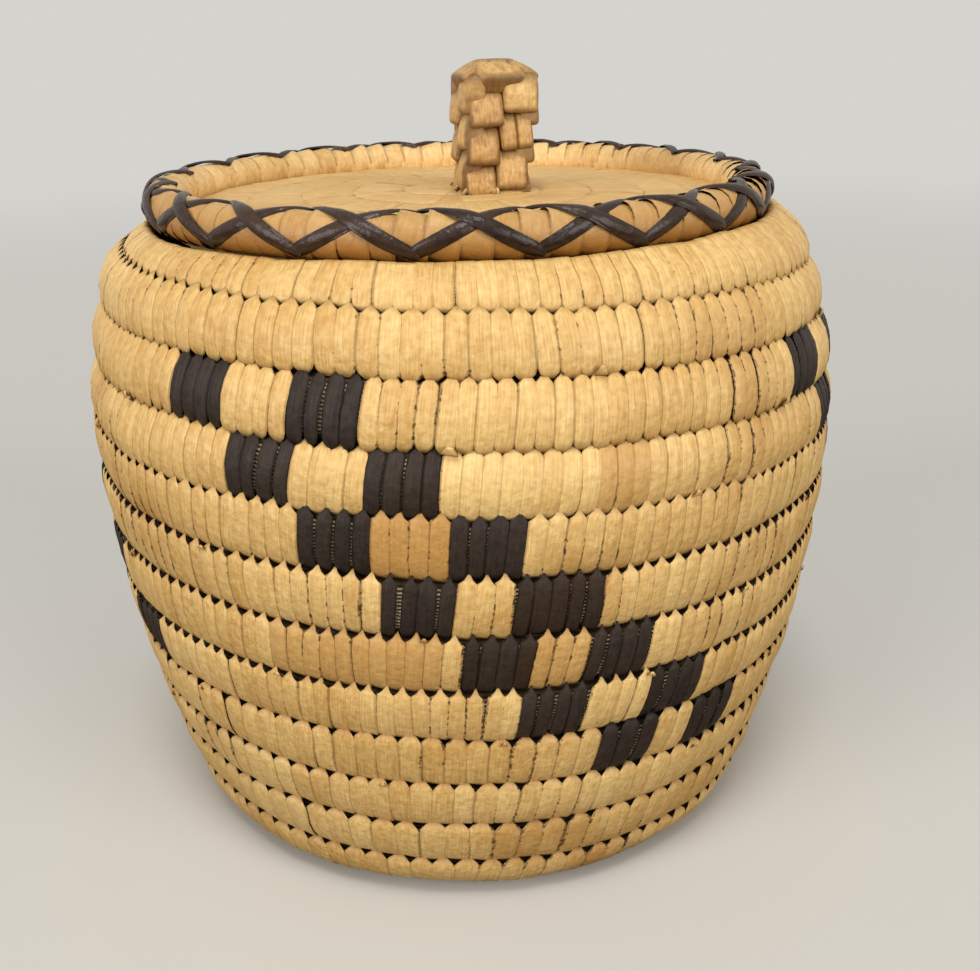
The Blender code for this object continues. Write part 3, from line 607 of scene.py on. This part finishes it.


# Split yucca leaf, dried and polished by hands: warm straw with fine lengthwise fibres, a brown
# line where two strips meet that is partly dirt and partly painted shade in the groove, painted shade
# at the stitch ends and in small gaps near the edges, and a soft satin sheen. On a 4 mm strip fibres
# are 0.3 mm apart, mottles 1 to 2 mm, and clouds of brown 30 mm.
def leaf_material(name, pale, deep, crease, brown, roughness, crease_strength=0.6, sheen=0.4, tip_shade=0.0,
                  holes=0.8, relief_depth=0.00022, edge_start=0.8):
    """Split leaf strip in its own colours."""
    material, tree, add, shader = new_material(name)
    spot = add("ShaderNodeTexCoord").outputs["Object"]
    strip = add("ShaderNodeUVMap", {"uv_map": "UVMap"})
    tone = add("ShaderNodeAttribute", {"attribute_name": "tone"}).outputs["Fac"]
    # Brown attribute: browner leaves on the wall, and painted shade on the rim's low outer side
    leaf_brown_and_rim_shade = add("ShaderNodeAttribute", {"attribute_name": "brown"}).outputs["Fac"]
    across = add(SEPARATE, {}, (strip,)).outputs["X"]
    side = add(MATH, "ABSOLUTE", (add(MATH, "MULTIPLY_ADD", (across, 2.0, -1.0)),))
    edge = add(MAP_RANGE, {"interpolation_type": "SMOOTHSTEP"}, (side, edge_start, 0.97, 0.0, 1.0))
    own = add(COMBINE, {}, {2: add(MATH, "MULTIPLY", (tone, 41.0))})
    lengthwise = add(VECTOR_MATH, "MULTIPLY_ADD", (strip, (14.0, 7.0, 0.0), own))
    fibre = add(NOISE, {}, {"Vector": lengthwise, "Scale": 1.0, "Detail": 3.0})
    cloud = add(NOISE, {}, {"Vector": spot, "Scale": 34.0, "Detail": 3.0})
    speck = add(NOISE, {}, {"Vector": spot, "Scale": 900.0, "Detail": 1.0})
    mottle = add(NOISE, {}, {"Vector": spot, "Scale": 620.0, "Detail": 3.0})
    grain = add(MATH, "MULTIPLY_ADD", (mottle, 1.1, add(MATH, "MULTIPLY_ADD", (fibre, 1.3, -0.95))))
    mixed = add(MATH, "MULTIPLY_ADD", (tone, 0.25, grain))
    colour = add(MIX, COLOURS, {0: mixed, 6: linear(pale), 7: linear(deep)})
    clouded = add(MAP_RANGE, {}, (cloud, 0.54, 0.72, 0.0, 0.5))
    stain_and_shade = add(MATH, "MAXIMUM", (clouded, leaf_brown_and_rim_shade))
    # The brown line where two strips meet is partly dirt and partly painted shade in the groove between
    # them
    patchy = add(MAP_RANGE, {}, (cloud, 0.38, 0.6, 0.2, crease_strength))
    crease_dirt_and_shade = add(MATH, "MULTIPLY", (edge, patchy))
    # Painted shade at the stitch ends, which darken where they tuck into the seam between courses
    around = add(SEPARATE, {}, (strip,)).outputs["Y"]
    upper_tip = add(MAP_RANGE, {}, (around, 0.02, 0.2, tip_shade, 0.0))
    lower_tip = add(MAP_RANGE, {}, (around, 0.5, 0.6, 0.0, tip_shade))
    tucked = add(MATH, "ADD", (upper_tip, lower_tip))
    crease_dirt_and_shade = add(MATH, "MAXIMUM", (crease_dirt_and_shade, tucked))
    # Painted shade: near-black specks along the strip edges stand for the shadow in small gaps between the
    # stitches
    specked = add(MAP_RANGE, {}, (add(MATH, "MULTIPLY", (speck, patchy)), 0.27, 0.33, 0.0, holes))
    hole_shade = add(MATH, "MULTIPLY", (specked, add(MAP_RANGE, {}, (side, 0.74, 0.8, 0.0, 1.0))))
    for over, code in ((stain_and_shade, brown), (crease_dirt_and_shade, crease), (hole_shade, "2A1A0D")):
        colour = add(MIX, COLOURS, {0: over, 6: colour.outputs[2], 7: linear(code)})
    tree.links.new(colour.outputs[2], shader.inputs["Base Color"])
    rough = add(MAP_RANGE, {}, (fibre, 0.3, 0.7, roughness, roughness + 0.15))
    tree.links.new(rough.outputs[0], shader.inputs["Roughness"])
    shader.inputs["Specular IOR Level"].default_value = sheen
    lumps = add(MATH, "MULTIPLY_ADD", (mottle, 1.6, add(MATH, "MULTIPLY", (edge, -1.0))))
    relief = add(MATH, "MULTIPLY_ADD", (fibre, 0.4, lumps))
    bump = add("ShaderNodeBump", {}, {"Strength": 0.7, "Distance": relief_depth, "Height": relief})
    tree.links.new(bump.outputs[0], shader.inputs["Normal"])
    return material


# The golden stitches get painted shade at their ends in the seams
golden_leaf = leaf_material("split yucca leaf, golden", "F2CE88", "C6964F", "6A401A", "B27A34", 0.43, 0.55,
                            0.45, 0.5, relief_depth=0.0003)
wall_stitch = strip_object("wall_stitch", STITCH_ROUTE, STITCH_WIDTH, STITCH_CROWN)
tooth_stitch = strip_object("tooth_stitch", TOOTH_ROUTE, STITCH_WIDTH, STITCH_CROWN)
foot_stitch = strip_object("foot_stitch", FOOT_ROUTE, STITCH_WIDTH, STITCH_CROWN)
mouth_stitch = strip_object("mouth_stitch", MOUTH_ROUTE, STITCH_WIDTH, STITCH_CROWN)
strip_end = strip_object("strip_end", END_ROUTE, STITCH_WIDTH, ((-1.0, 0.0), (0.0, 0.08), (1.0, 0.0)))
run_stitches = (mouth_stitch, wall_stitch, wall_stitch, tooth_stitch, foot_stitch, foot_stitch)
BODY_STITCHES = {
    **BODY_COIL, **BLOCK_SIZES, **MOTIF_STARTS, "Width": STITCH_WIDTH, "Lean spread": 0.22,
    "Pressed below": 0.0004}


def sew_run(label, number, values):
    """Stitches of one run of the wall, with these values besides its own."""
    first, last, per_turn, lean = WALL_RUNS[number]
    return bake(f"{label}_{number + 1}", stitch_tree, {
        **BODY_STITCHES, "Stitch": run_stitches[number], "First turn": first, "Lean": lean,
        "Per turn": per_turn, "Count": math.ceil((last - first) * per_turn - 0.01), "Seed": 20 * number,
        **values})


for number in range(len(WALL_RUNS)):
    piece = sew_run("wall_stitches", number, {
        "Tightness": 1.12, "Width spread": 0.05, "Dark": 0.0, "Material": golden_leaf})
    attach(piece, "basket")
    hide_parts("wall_coil")
ends = bake("strip_ends", stitch_tree, {
    **BODY_STITCHES, "Stitch": strip_end, "First turn": 2.0, "Lean": 0.1, "Lean spread": 0.5,
    "Per turn": 7.37, "Count": 58, "Tightness": 0.036, "Width spread": 0.012, "Dark": 0.0, "Seed": 151,
    "Material": golden_leaf})
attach(ends, "basket")


# Dark stair-step stitches
# The same stitch in the black bark of devil's claw, three or four to a block, set
# a little apart so that the grass bundle shows between them.
# The dark stitches also get painted shade at their ends in the seams
dark_bark = leaf_material("split devil's claw bark, dark", "41352C", "231A14", "0B0807", "38230F", 0.5, 0.7,
                          0.22, 0.6)
DARK_RUNS = range(1, 5)
for number in DARK_RUNS:
    piece = sew_run("dark_stitches", number, {
        "Tightness": 0.94, "Width spread": 0.14, "Dark": 1.0, "Material": dark_bark})
    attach(piece, "basket")
    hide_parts(*(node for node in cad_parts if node.startswith("dark_flight")))


# Base stitches
# The flat underside is the start of the same coil, sewn from the centre outwards
# with the same leaf, and pressed flat by standing.
BASE_SPACING = 0.0046
base_first = WALL_RUNS[-1][1]
base_radius = (body_turns - COIL_TAIL - base_first) * COIL_PITCH + CENTRE_HOLE + COIL_PITCH / 2
base_radius += CENTRE_CROWDING
base_count = int(math.pi * (base_radius ** 2 - CENTRE_END ** 2) / (BASE_SPACING * COIL_PITCH))
base = bake("base_stitches", stitch_tree, {
    **BODY_STITCHES, "Stitch": foot_stitch, "Lean": 0.05, "First turn": base_first, "Count": base_count,
    "Flat": True, "Outer radius": base_radius, "Spacing": BASE_SPACING, "Tightness": 1.1,
    "Width spread": 0.04, "Seed": 97, "Material": golden_leaf})
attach(base, "basket")
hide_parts("base_coil")


# Lid disc
# A flatter coil of the same grass and leaf, sewn fine and close, so that it
# reads as one smooth tan disc with faint rings. Its edge ends under the rim.
LID_EDGE = Vector((0.0758, 0.16159))
LID_DOME = 0.0018
LID_PITCH = 0.0137
LID_END_HEIGHT = 0.003
LID_SPACING = 0.0037
LID_ROUTE = (
    (2.6, 7.25, 0.46), (3.1, 6.5, 0.50), (3.3, 3.4, 0.50), (3.35, 0.0, 0.50), (3.3, -3.4, 0.50),
    (3.1, -6.5, 0.50), (2.6, -7.25, 0.46), (-2.6, -7.25, 0.46), (-3.1, -6.5, 0.50), (-3.3, -3.4, 0.50),
    (-3.35, 0.0, 0.50), (-3.3, 3.4, 0.50), (-3.1, 6.5, 0.50), (-2.6, 7.25, 0.46),
)
LID_CROWN = ((-1.0, -0.12), (-0.8, 0.0), (0.8, 0.0), (1.0, -0.12))
LID_POINTS = 31
LID_BUNDLE_STEPS = 60
LID_BUNDLE_OUTWARD = 0.0027
LID_BUNDLE_HALF_HEIGHT = 0.0062
lid_points = [Vector((LID_EDGE.x * share, LID_EDGE.y + LID_DOME * (1 - share ** 2)))
              for share in np.linspace(0.0, 1.0, LID_POINTS)]
lid_line = line_object("lid_line", lid_points)
lid_stitch = strip_object("lid_stitch", LID_ROUTE, LID_SPACING, LID_CROWN)
LID_COIL = {"Line": lid_line, "Pitch": LID_PITCH, "End height": LID_END_HEIGHT, "Centre hole": CENTRE_HOLE}
lid_turns = (LID_EDGE.x - LID_END_HEIGHT - CENTRE_HOLE) / LID_PITCH + COIL_TAIL
lid_bundle = bake("lid_grass_bundle", bundle_tree, {
    **LID_COIL, "Turns": lid_turns, "Outward": LID_BUNDLE_OUTWARD, "Half height": LID_BUNDLE_HALF_HEIGHT,
    "Steps": int(lid_turns * LID_BUNDLE_STEPS), "Sides": BUNDLE_SIDES + 1, "Material": grass})
lid_leaf = leaf_material("split yucca leaf, lid", "E4BF80", "D0A460", "A97C45", "C39253", 0.55, 0.1,
                         holes=0.0, relief_depth=0.00008)
lid_radius = LID_EDGE.x - LID_END_HEIGHT + LID_PITCH / 2 + CENTRE_CROWDING
lid_count = int(math.pi * (lid_radius ** 2 - CENTRE_END ** 2) / (LID_SPACING * LID_PITCH))
lid_stitches = bake("lid_stitches", stitch_tree, {
    **LID_COIL, "Stitch": lid_stitch, "Width": LID_SPACING, "Count": lid_count, "Flat": True,
    "Outer radius": lid_radius, "Spacing": LID_SPACING, "Lean": 0.05, "Lean spread": 0.15, "Tightness": 1.6,
    "Width spread": 0.04, "Seed": 131, "Material": lid_leaf})
for piece in (lid_bundle, lid_stitches):
    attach(piece, "lid")
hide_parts("lid_coil")


# Lid rim
# A thick round bundle sewn to the disc's edge and wrapped with broad pale leaf
# strips, some drawn slantwise so that they overlap.
RIM_RADIUS = 0.0762
RIM_HEIGHT = 0.16649
RIM_COIL_RADIUS = 0.0052
WRAP_WIDTH = 0.0064
WRAPS = 78
WRAP_SIDES = 16
WRAP_CROWN = ((-1.0, -0.1), (-0.75, 0.0), (0.75, 0.0), (1.0, -0.1))
wrap_route = [(RIM_COIL_RADIUS * 1000 * math.cos(a), RIM_COIL_RADIUS * 1000 * math.sin(a), 0.5)
              for a in np.linspace(0.0, -math.tau, WRAP_SIDES, endpoint=False)]
wrap = strip_object("rim_wrap", wrap_route, WRAP_WIDTH, WRAP_CROWN)
wrap_tree, add, given, output = new_tree("Wraps round a ring", {
    "Wrap": "Object", "Count": "Int", "Radius": "Float", "Height": "Float", "Lean": "Float",
    "Lean spread": "Float", "Seed": "Int", "Material": "Material"}, {"Mesh": "Geometry"})
rolls = []
for number, (least, most) in enumerate((
        (-0.1, 0.1), (1.12, 1.25), (1.0, 1.012), (-0.03, 0.03), (0.0, MOST_TONE))):
    seed = add(MATH, "ADD", (given["Seed"], float(number)))
    rolls.append(add("FunctionNodeRandomValue", {}, {2: least, 3: most, "Seed": seed}).outputs[1])
number = add(MATH, "ADD", (add("GeometryNodeInputIndex"), rolls[0]))
share = add(MATH, "DIVIDE", (number, given["Count"]))
angle = add(MATH, "MULTIPLY", (share, math.tau))
spoke = add(COMBINE, {}, {0: given["Radius"], 2: given["Height"]})
place = add("ShaderNodeVectorRotate", {"rotation_type": "Z_AXIS"}, {"Vector": spoke, "Angle": angle})
lean = strip_lean(add, given, place, 26.0, rolls[3])
tilt = add(COMBINE, {}, {0: lean, 2: angle})
size = add(COMBINE, {}, (rolls[2], rolls[1], rolls[2]))
points = add("GeometryNodePoints", {}, {"Count": given["Count"], "Position": place})
toned = add("GeometryNodeStoreNamedAttribute", {}, {"Geometry": points, "Name": "tone", "Value": rolls[4]})
strip = add("GeometryNodeObjectInfo", {}, (given["Wrap"],))
row = add("GeometryNodeInstanceOnPoints", {}, {
    "Points": toned, "Instance": strip.outputs["Geometry"], "Scale": size,
    "Rotation": add("FunctionNodeEulerToRotation", {}, (tilt,))})
real = add("GeometryNodeRealizeInstances", {}, (row,))

# The low outer side is painted browner: painted shade where it turns down, away from the light above
spot = add("GeometryNodeInputPosition")
level = add(MATH, "SUBTRACT", (add(SEPARATE, {}, (spot,)).outputs["Z"], given["Height"]))
level_place = add(VECTOR_MATH, "MULTIPLY", (spot, (1.0, 1.0, 0.0)))
past = add(MATH, "SUBTRACT", (add(VECTOR_MATH, "LENGTH", (level_place,)).outputs["Value"], given["Radius"]))
low = add(MAP_RANGE, {}, (level, -0.003, 0.005, 1.0, 0.45))
outer = add(MAP_RANGE, {}, (past, -0.002, 0.002, 0.0, 1.0))
real = add("GeometryNodeStoreNamedAttribute", {}, {
    "Geometry": real, "Name": "brown", "Value": add(MATH, "MULTIPLY", (low, outer))})
end_tree(wrap_tree, add, given, output, real)

rim_leaf = leaf_material("split yucca leaf, rim", "EFCB8C", "CDA05C", "7A5024", "A26C2C", 0.38, 0.5,
                         holes=0.0)
rim = bake("rim_wrapping", wrap_tree, {
    "Wrap": wrap, "Count": WRAPS, "Radius": RIM_RADIUS, "Height": RIM_HEIGHT, "Lean": 0.12,
    "Lean spread": 0.45, "Seed": 211, "Material": rim_leaf})
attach(rim, "lid")
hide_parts("lid_rim_coil")


# Rim lacing
# Two strips of dark bark zigzag over the rim and cross near its crest. The arms
# that fall to the right lie over the ones that rise.
LACING_ARMS = 20
LACING_WIDTH = 0.0036
LACING_VALLEY = math.radians(-30)
LACING_PEAK = math.radians(118)
LACING_FIRST_VALLEY = math.radians(-7)
# How far the strips stand off the wraps, and the falling ones off the rising ones
LACING_LIFT = 0.00035
FALLING_LIFT = 0.0002
CROSSING_LIFT = 0.00062
CROSSING_REACH = 0.2
# Share of an arm that goes on past its turning points, and how much narrower it ends inside
ARM_OVERLAP = 0.045
ARM_NARROWING = 0.45
# Shares of the width at an arm's first and second steps from its ends
ARM_ENDS = {0: 0.55, 1: 0.88}
ARM_CROWN = ((-1.0, -0.25), (-0.72, 0.22), (0.0, 0.42), (0.72, 0.22), (1.0, -0.25))
ARM_STEPS = 20


def arm_object(name, rising):
    """One arm of the lacing, from an outer low point over the rim to an inner high one."""
    work = bmesh.new()
    layer = work.loops.layers.uv.new("UVMap")
    arm_angle = math.tau / LACING_ARMS
    rows = []
    for step in range(ARM_STEPS + 1):
        share = -ARM_OVERLAP + (1 + 2 * ARM_OVERLAP) * step / ARM_STEPS
        level = RIM_COIL_RADIUS + LACING_LIFT
        if not rising:
            level += CROSSING_LIFT * math.exp(-((share - 0.5) / CROSSING_REACH) ** 2) + FALLING_LIFT
        tube = LACING_VALLEY + (LACING_PEAK - LACING_VALLEY) * share
        turn = arm_angle * (share if rising else -share)
        along = Vector(((RIM_RADIUS + level * math.cos(tube)) * arm_angle * (1 if rising else -1),
                        level * (LACING_PEAK - LACING_VALLEY))).normalized()
        aside = Vector((along.y, -along.x))
        half = LACING_WIDTH / 2 * ARM_ENDS.get(min(step, ARM_STEPS - step), 1.0)
        half *= 1 - ARM_NARROWING * min(max((share - 0.55) / 0.3, 0.0), 1.0)
        row = []
        for side, lift in ARM_CROWN:
            height = level + lift / 1000
            edge_tube = tube + aside.y * half * side / height
            reach = RIM_RADIUS + height * math.cos(edge_tube)
            edge_turn = turn + aside.x * half * side / reach
            row.append(work.verts.new((reach * math.sin(edge_turn), -reach * math.cos(edge_turn),
                                       RIM_HEIGHT + height * math.sin(edge_tube))))
        rows.append(row)
    skin_rows(work, layer, rows, ARM_CROWN)
    face = list(work.faces)[-1]
    if face.normal.dot(face.calc_center_median() - Vector((0.0, -RIM_RADIUS, RIM_HEIGHT))) < 0:
        bmesh.ops.reverse_faces(work, faces=work.faces)
    return add_mesh(name, work)


arms_tree, add, given, output = new_tree("Arms round the rim", {
    "Arm": "Object", "Count": "Int", "First angle": "Float", "Unevenness": "Float", "Seed": "Int",
    "Material": "Material"}, {"Mesh": "Geometry"})
points = add("GeometryNodePoints", {}, {"Count": given["Count"]})
jitter = add("FunctionNodeRandomValue", {}, {2: -1.0, 3: 1.0, "Seed": given["Seed"]}).outputs[1]
toned = add("GeometryNodeStoreNamedAttribute", {}, {
    "Geometry": points, "Name": "tone", "Value": add(MATH, "ADD", (jitter, 1.0))})
share = add(MATH, "DIVIDE", (add("GeometryNodeInputIndex"), given["Count"]))
angle = add(MATH, "MULTIPLY_ADD", (share, math.tau, given["First angle"]))
angle = add(MATH, "MULTIPLY_ADD", (jitter, given["Unevenness"], angle))
spin = add(COMBINE, {}, {2: angle})
arm = add("GeometryNodeObjectInfo", {}, (given["Arm"],))
row = add("GeometryNodeInstanceOnPoints", {}, {
    "Points": toned, "Instance": arm.outputs["Geometry"],
    "Rotation": add("FunctionNodeEulerToRotation", {}, (spin,))})
end_tree(arms_tree, add, given, output, row)

# Devil's claw bark, split wide and rubbed to a gloss: near black-brown with
# greyer lengthwise streaks, and a sharp highlight along its crown.
lacing_bark = leaf_material("polished devil's claw bark, lacing", "463023", "1F140C", "100A06", "402813",
                            0.2, 0.5, 0.33)
for name, rising, nodes in (
        ("lacing_rising_arms", True, "rim_lacing_a"), ("lacing_falling_arms", False, "rim_lacing_b")):
    helper = arm_object(name + "_maker", rising)
    arms = bake(name, arms_tree, {
        "Arm": helper, "Count": LACING_ARMS, "First angle": LACING_FIRST_VALLEY, "Unevenness": 0.012,
        "Seed": 5, "Material": lacing_bark})
    bpy.data.objects.remove(helper)
    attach(arms, "lid")
    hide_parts(nodes)


# Knob
# A square plait of doubled leaf strips. Each strip folds out, down and back in,
# so every side shows two columns of puffed blocks set half a block apart.
KNOB_FOOT = 0.1665
KNOB_RISE = 0.030
KNOB_FOOT_PLACE = Vector((0.0086, 0.0))
KNOB_TOP_PLACE = Vector((0.0102, 0.0))
KNOB_FOOT_TURN = math.radians(7)
KNOB_TOP_TURN = math.radians(17)
KNOB_FOOT_SIDE = 0.0160
KNOB_TOP_SIDE = 0.0190
PAD_DEPTH = 0.0052
PAD_CUTS = 7
PAD_ROUNDING = 8
PAD_PROUD = 0.0004
# Tilt of the blocks in degrees, and how much it and their lean vary
PAD_SLOPE = -6
PAD_SLOPE_SPREAD = 3
PAD_LEAN_SPREAD = 4
# Blocks of the two columns on a side: middle height and height, in mm
LEFT_BLOCKS = ((169.5, 8.6), (178.5, 10.4), (187.7, 9.8))
RIGHT_BLOCKS = ((165.6, 3.6), (172.3, 10.8), (182.0, 9.8), (191.2, 10.0))
TOP_LEVEL = 0.1951
TOP_PAD = (0.0125, 0.0098, 0.0052)
TOP_PAD_OUTWARD = 0.0050
TOP_PAD_ASIDE = 0.0008
CORE = (0.0125, 0.0296, 0.0125)
FRAYS_TO_A_SIDE = 3
FRAY = (0.0014, 0.0055, 0.0006)
UP = Vector((0.0, 0.0, 1.0))


def knob_place(level, face_number):
    """Middle, side way, outward way and side of the knob at a height, for one of its four sides."""
    share = (level - KNOB_FOOT) / KNOB_RISE
    turn = KNOB_FOOT_TURN + (KNOB_TOP_TURN - KNOB_FOOT_TURN) * share + face_number * math.pi / 2
    middle = KNOB_FOOT_PLACE.lerp(KNOB_TOP_PLACE, share)
    side = KNOB_FOOT_SIDE + (KNOB_TOP_SIDE - KNOB_FOOT_SIDE) * share ** 2
    return (Vector((*middle, level)), Vector((math.cos(turn), math.sin(turn), 0.0)),
            Vector((math.sin(turn), -math.cos(turn), 0.0)), side)


def add_pad(work, layers, middle, across, along, size, tone, bulge=0.6, tuck=1.2, square=11.0):
    """Add one block of folded strip. Size is in metres: across, along and deep.

    The block bulges by some mm in the middle, and its upper end is tucked in by some mm.
    """
    normal = across.cross(along)
    start = len(work.verts)
    made = bmesh.ops.create_cube(work, size=2.0)["verts"]
    edges = list({edge for vert in made for edge in vert.link_edges})
    bmesh.ops.subdivide_edges(work, edges=edges, cuts=PAD_CUTS, use_grid_fill=True)
    pad = list(work.verts)[start:]
    local = {}
    for vert in pad:
        x, y, z = vert.co
        plane = (abs(x) ** square + abs(y) ** square) ** (1 / square)
        local[vert] = vert.co / (plane ** PAD_ROUNDING + abs(z) ** PAD_ROUNDING) ** (1 / PAD_ROUNDING)
    # The map keeps to the part of a strip between its tucked ends
    for face in {face for vert in pad for face in vert.link_faces}:
        face.smooth = True
        for loop in face.loops:
            loop[layers[0]].uv = (0.5 + local[loop.vert].x / 2, 0.31 - 0.31 * local[loop.vert].y)
            loop[layers[1]] = tone
    for vert in pad:
        x, y, z = local[vert]
        lift = bulge * (1 - x * x) * 0.4 + bulge * (1 - ((y + 0.3) / 1.3) ** 2) - tuck * max(y, 0.0) ** 2
        vert.co = (middle + across * x * size[0] / 2 + along * y * size[1] / 2
                   + normal * (z * size[2] / 2 + lift / 1000))


work = bmesh.new()
layers = (work.loops.layers.uv.new("UVMap"), work.loops.layers.float.new("tone"))
chance = np.random.default_rng(7)
for face_number in range(4):
    for column, blocks in ((-1, LEFT_BLOCKS), (1, RIGHT_BLOCKS)):
        for row_number, (level, tall) in enumerate(blocks):
            middle, side_way, out_way, side = knob_place(level / 1000, face_number)
            slope = math.radians(PAD_SLOPE + PAD_SLOPE_SPREAD * chance.uniform(-1, 1))
            along = UP * math.cos(slope) + out_way * math.sin(slope)
            lean = math.radians(PAD_LEAN_SPREAD * chance.uniform(-1, 1))
            across = side_way * math.cos(lean) + along * math.sin(lean)
            along = (along - across * along.dot(across)).normalized()
            middle += side_way * column * side / 4 + out_way * (side / 2 - PAD_DEPTH / 2 + PAD_PROUD)
            # On two sides a block near the top shows both strips of its double layer
            strips = 2 if (column, row_number, face_number % 2) == (1, 2, 0) else 1
            for strip_number in range(strips):
                shift = (strip_number - (strips - 1) / 2) * side / 2 / strips
                add_pad(work, layers, middle + across * shift, across, along,
                        (side / 2 / strips * 1.03, tall / 1000, PAD_DEPTH), chance.uniform(0, MOST_TONE))
    # Top: each strip comes over its own edge and ends under the next one
    middle, side_way, out_way, side = knob_place(TOP_LEVEL, face_number)
    along = (UP * 0.5 - out_way * 0.866).normalized()
    middle = middle + out_way * TOP_PAD_OUTWARD - side_way * TOP_PAD_ASIDE
    add_pad(work, layers, middle, side_way, along, TOP_PAD, chance.uniform(0, MOST_TONE), 0.5, 0.4, 5.0)
    # Ends of the strips, frayed where they pass into the lid
    for _ in range(FRAYS_TO_A_SIDE):
        middle, side_way, out_way, side = knob_place(KNOB_FOOT + 0.001, face_number)
        spread = chance.uniform(-1, 1)
        middle += side_way * spread * side / 2 + out_way * (side / 2 + 0.0003)
        along = (out_way * chance.uniform(0.2, 1.1) + side_way * spread * 0.7 - UP * 0.6).normalized()
        across = along.cross(UP).normalized()
        add_pad(work, layers, middle, across, along, FRAY, chance.uniform(0, MOST_TONE), 0.3, 0.0, 3.0)
# A core closes the hollow inside the plait
middle, side_way, _, _ = knob_place(KNOB_FOOT + KNOB_RISE / 2, 0)
add_pad(work, layers, middle, side_way, UP, CORE, 2.0, 0.0, 0.0)
knob = add_mesh("plaited_knob", work)
# Painted shade: strong dark crease colour along the block edges and at their ends, in the folds between the
# blocks
knob_leaf = leaf_material("split yucca leaf, knob", "DFB974", "A97A43", "54330F", "94622A", 0.4, 0.9, 0.45,
                          0.75, holes=0.0, edge_start=0.68, relief_depth=0.00035)
knob.data.materials.append(knob_leaf)
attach(knob, "lid")
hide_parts(*(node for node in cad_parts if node.startswith("knob_strip")))

for helper in (wall_stitch, tooth_stitch, foot_stitch, mouth_stitch, strip_end, lid_stitch, wrap,
               body_line, lid_line):
    bpy.data.objects.remove(helper)
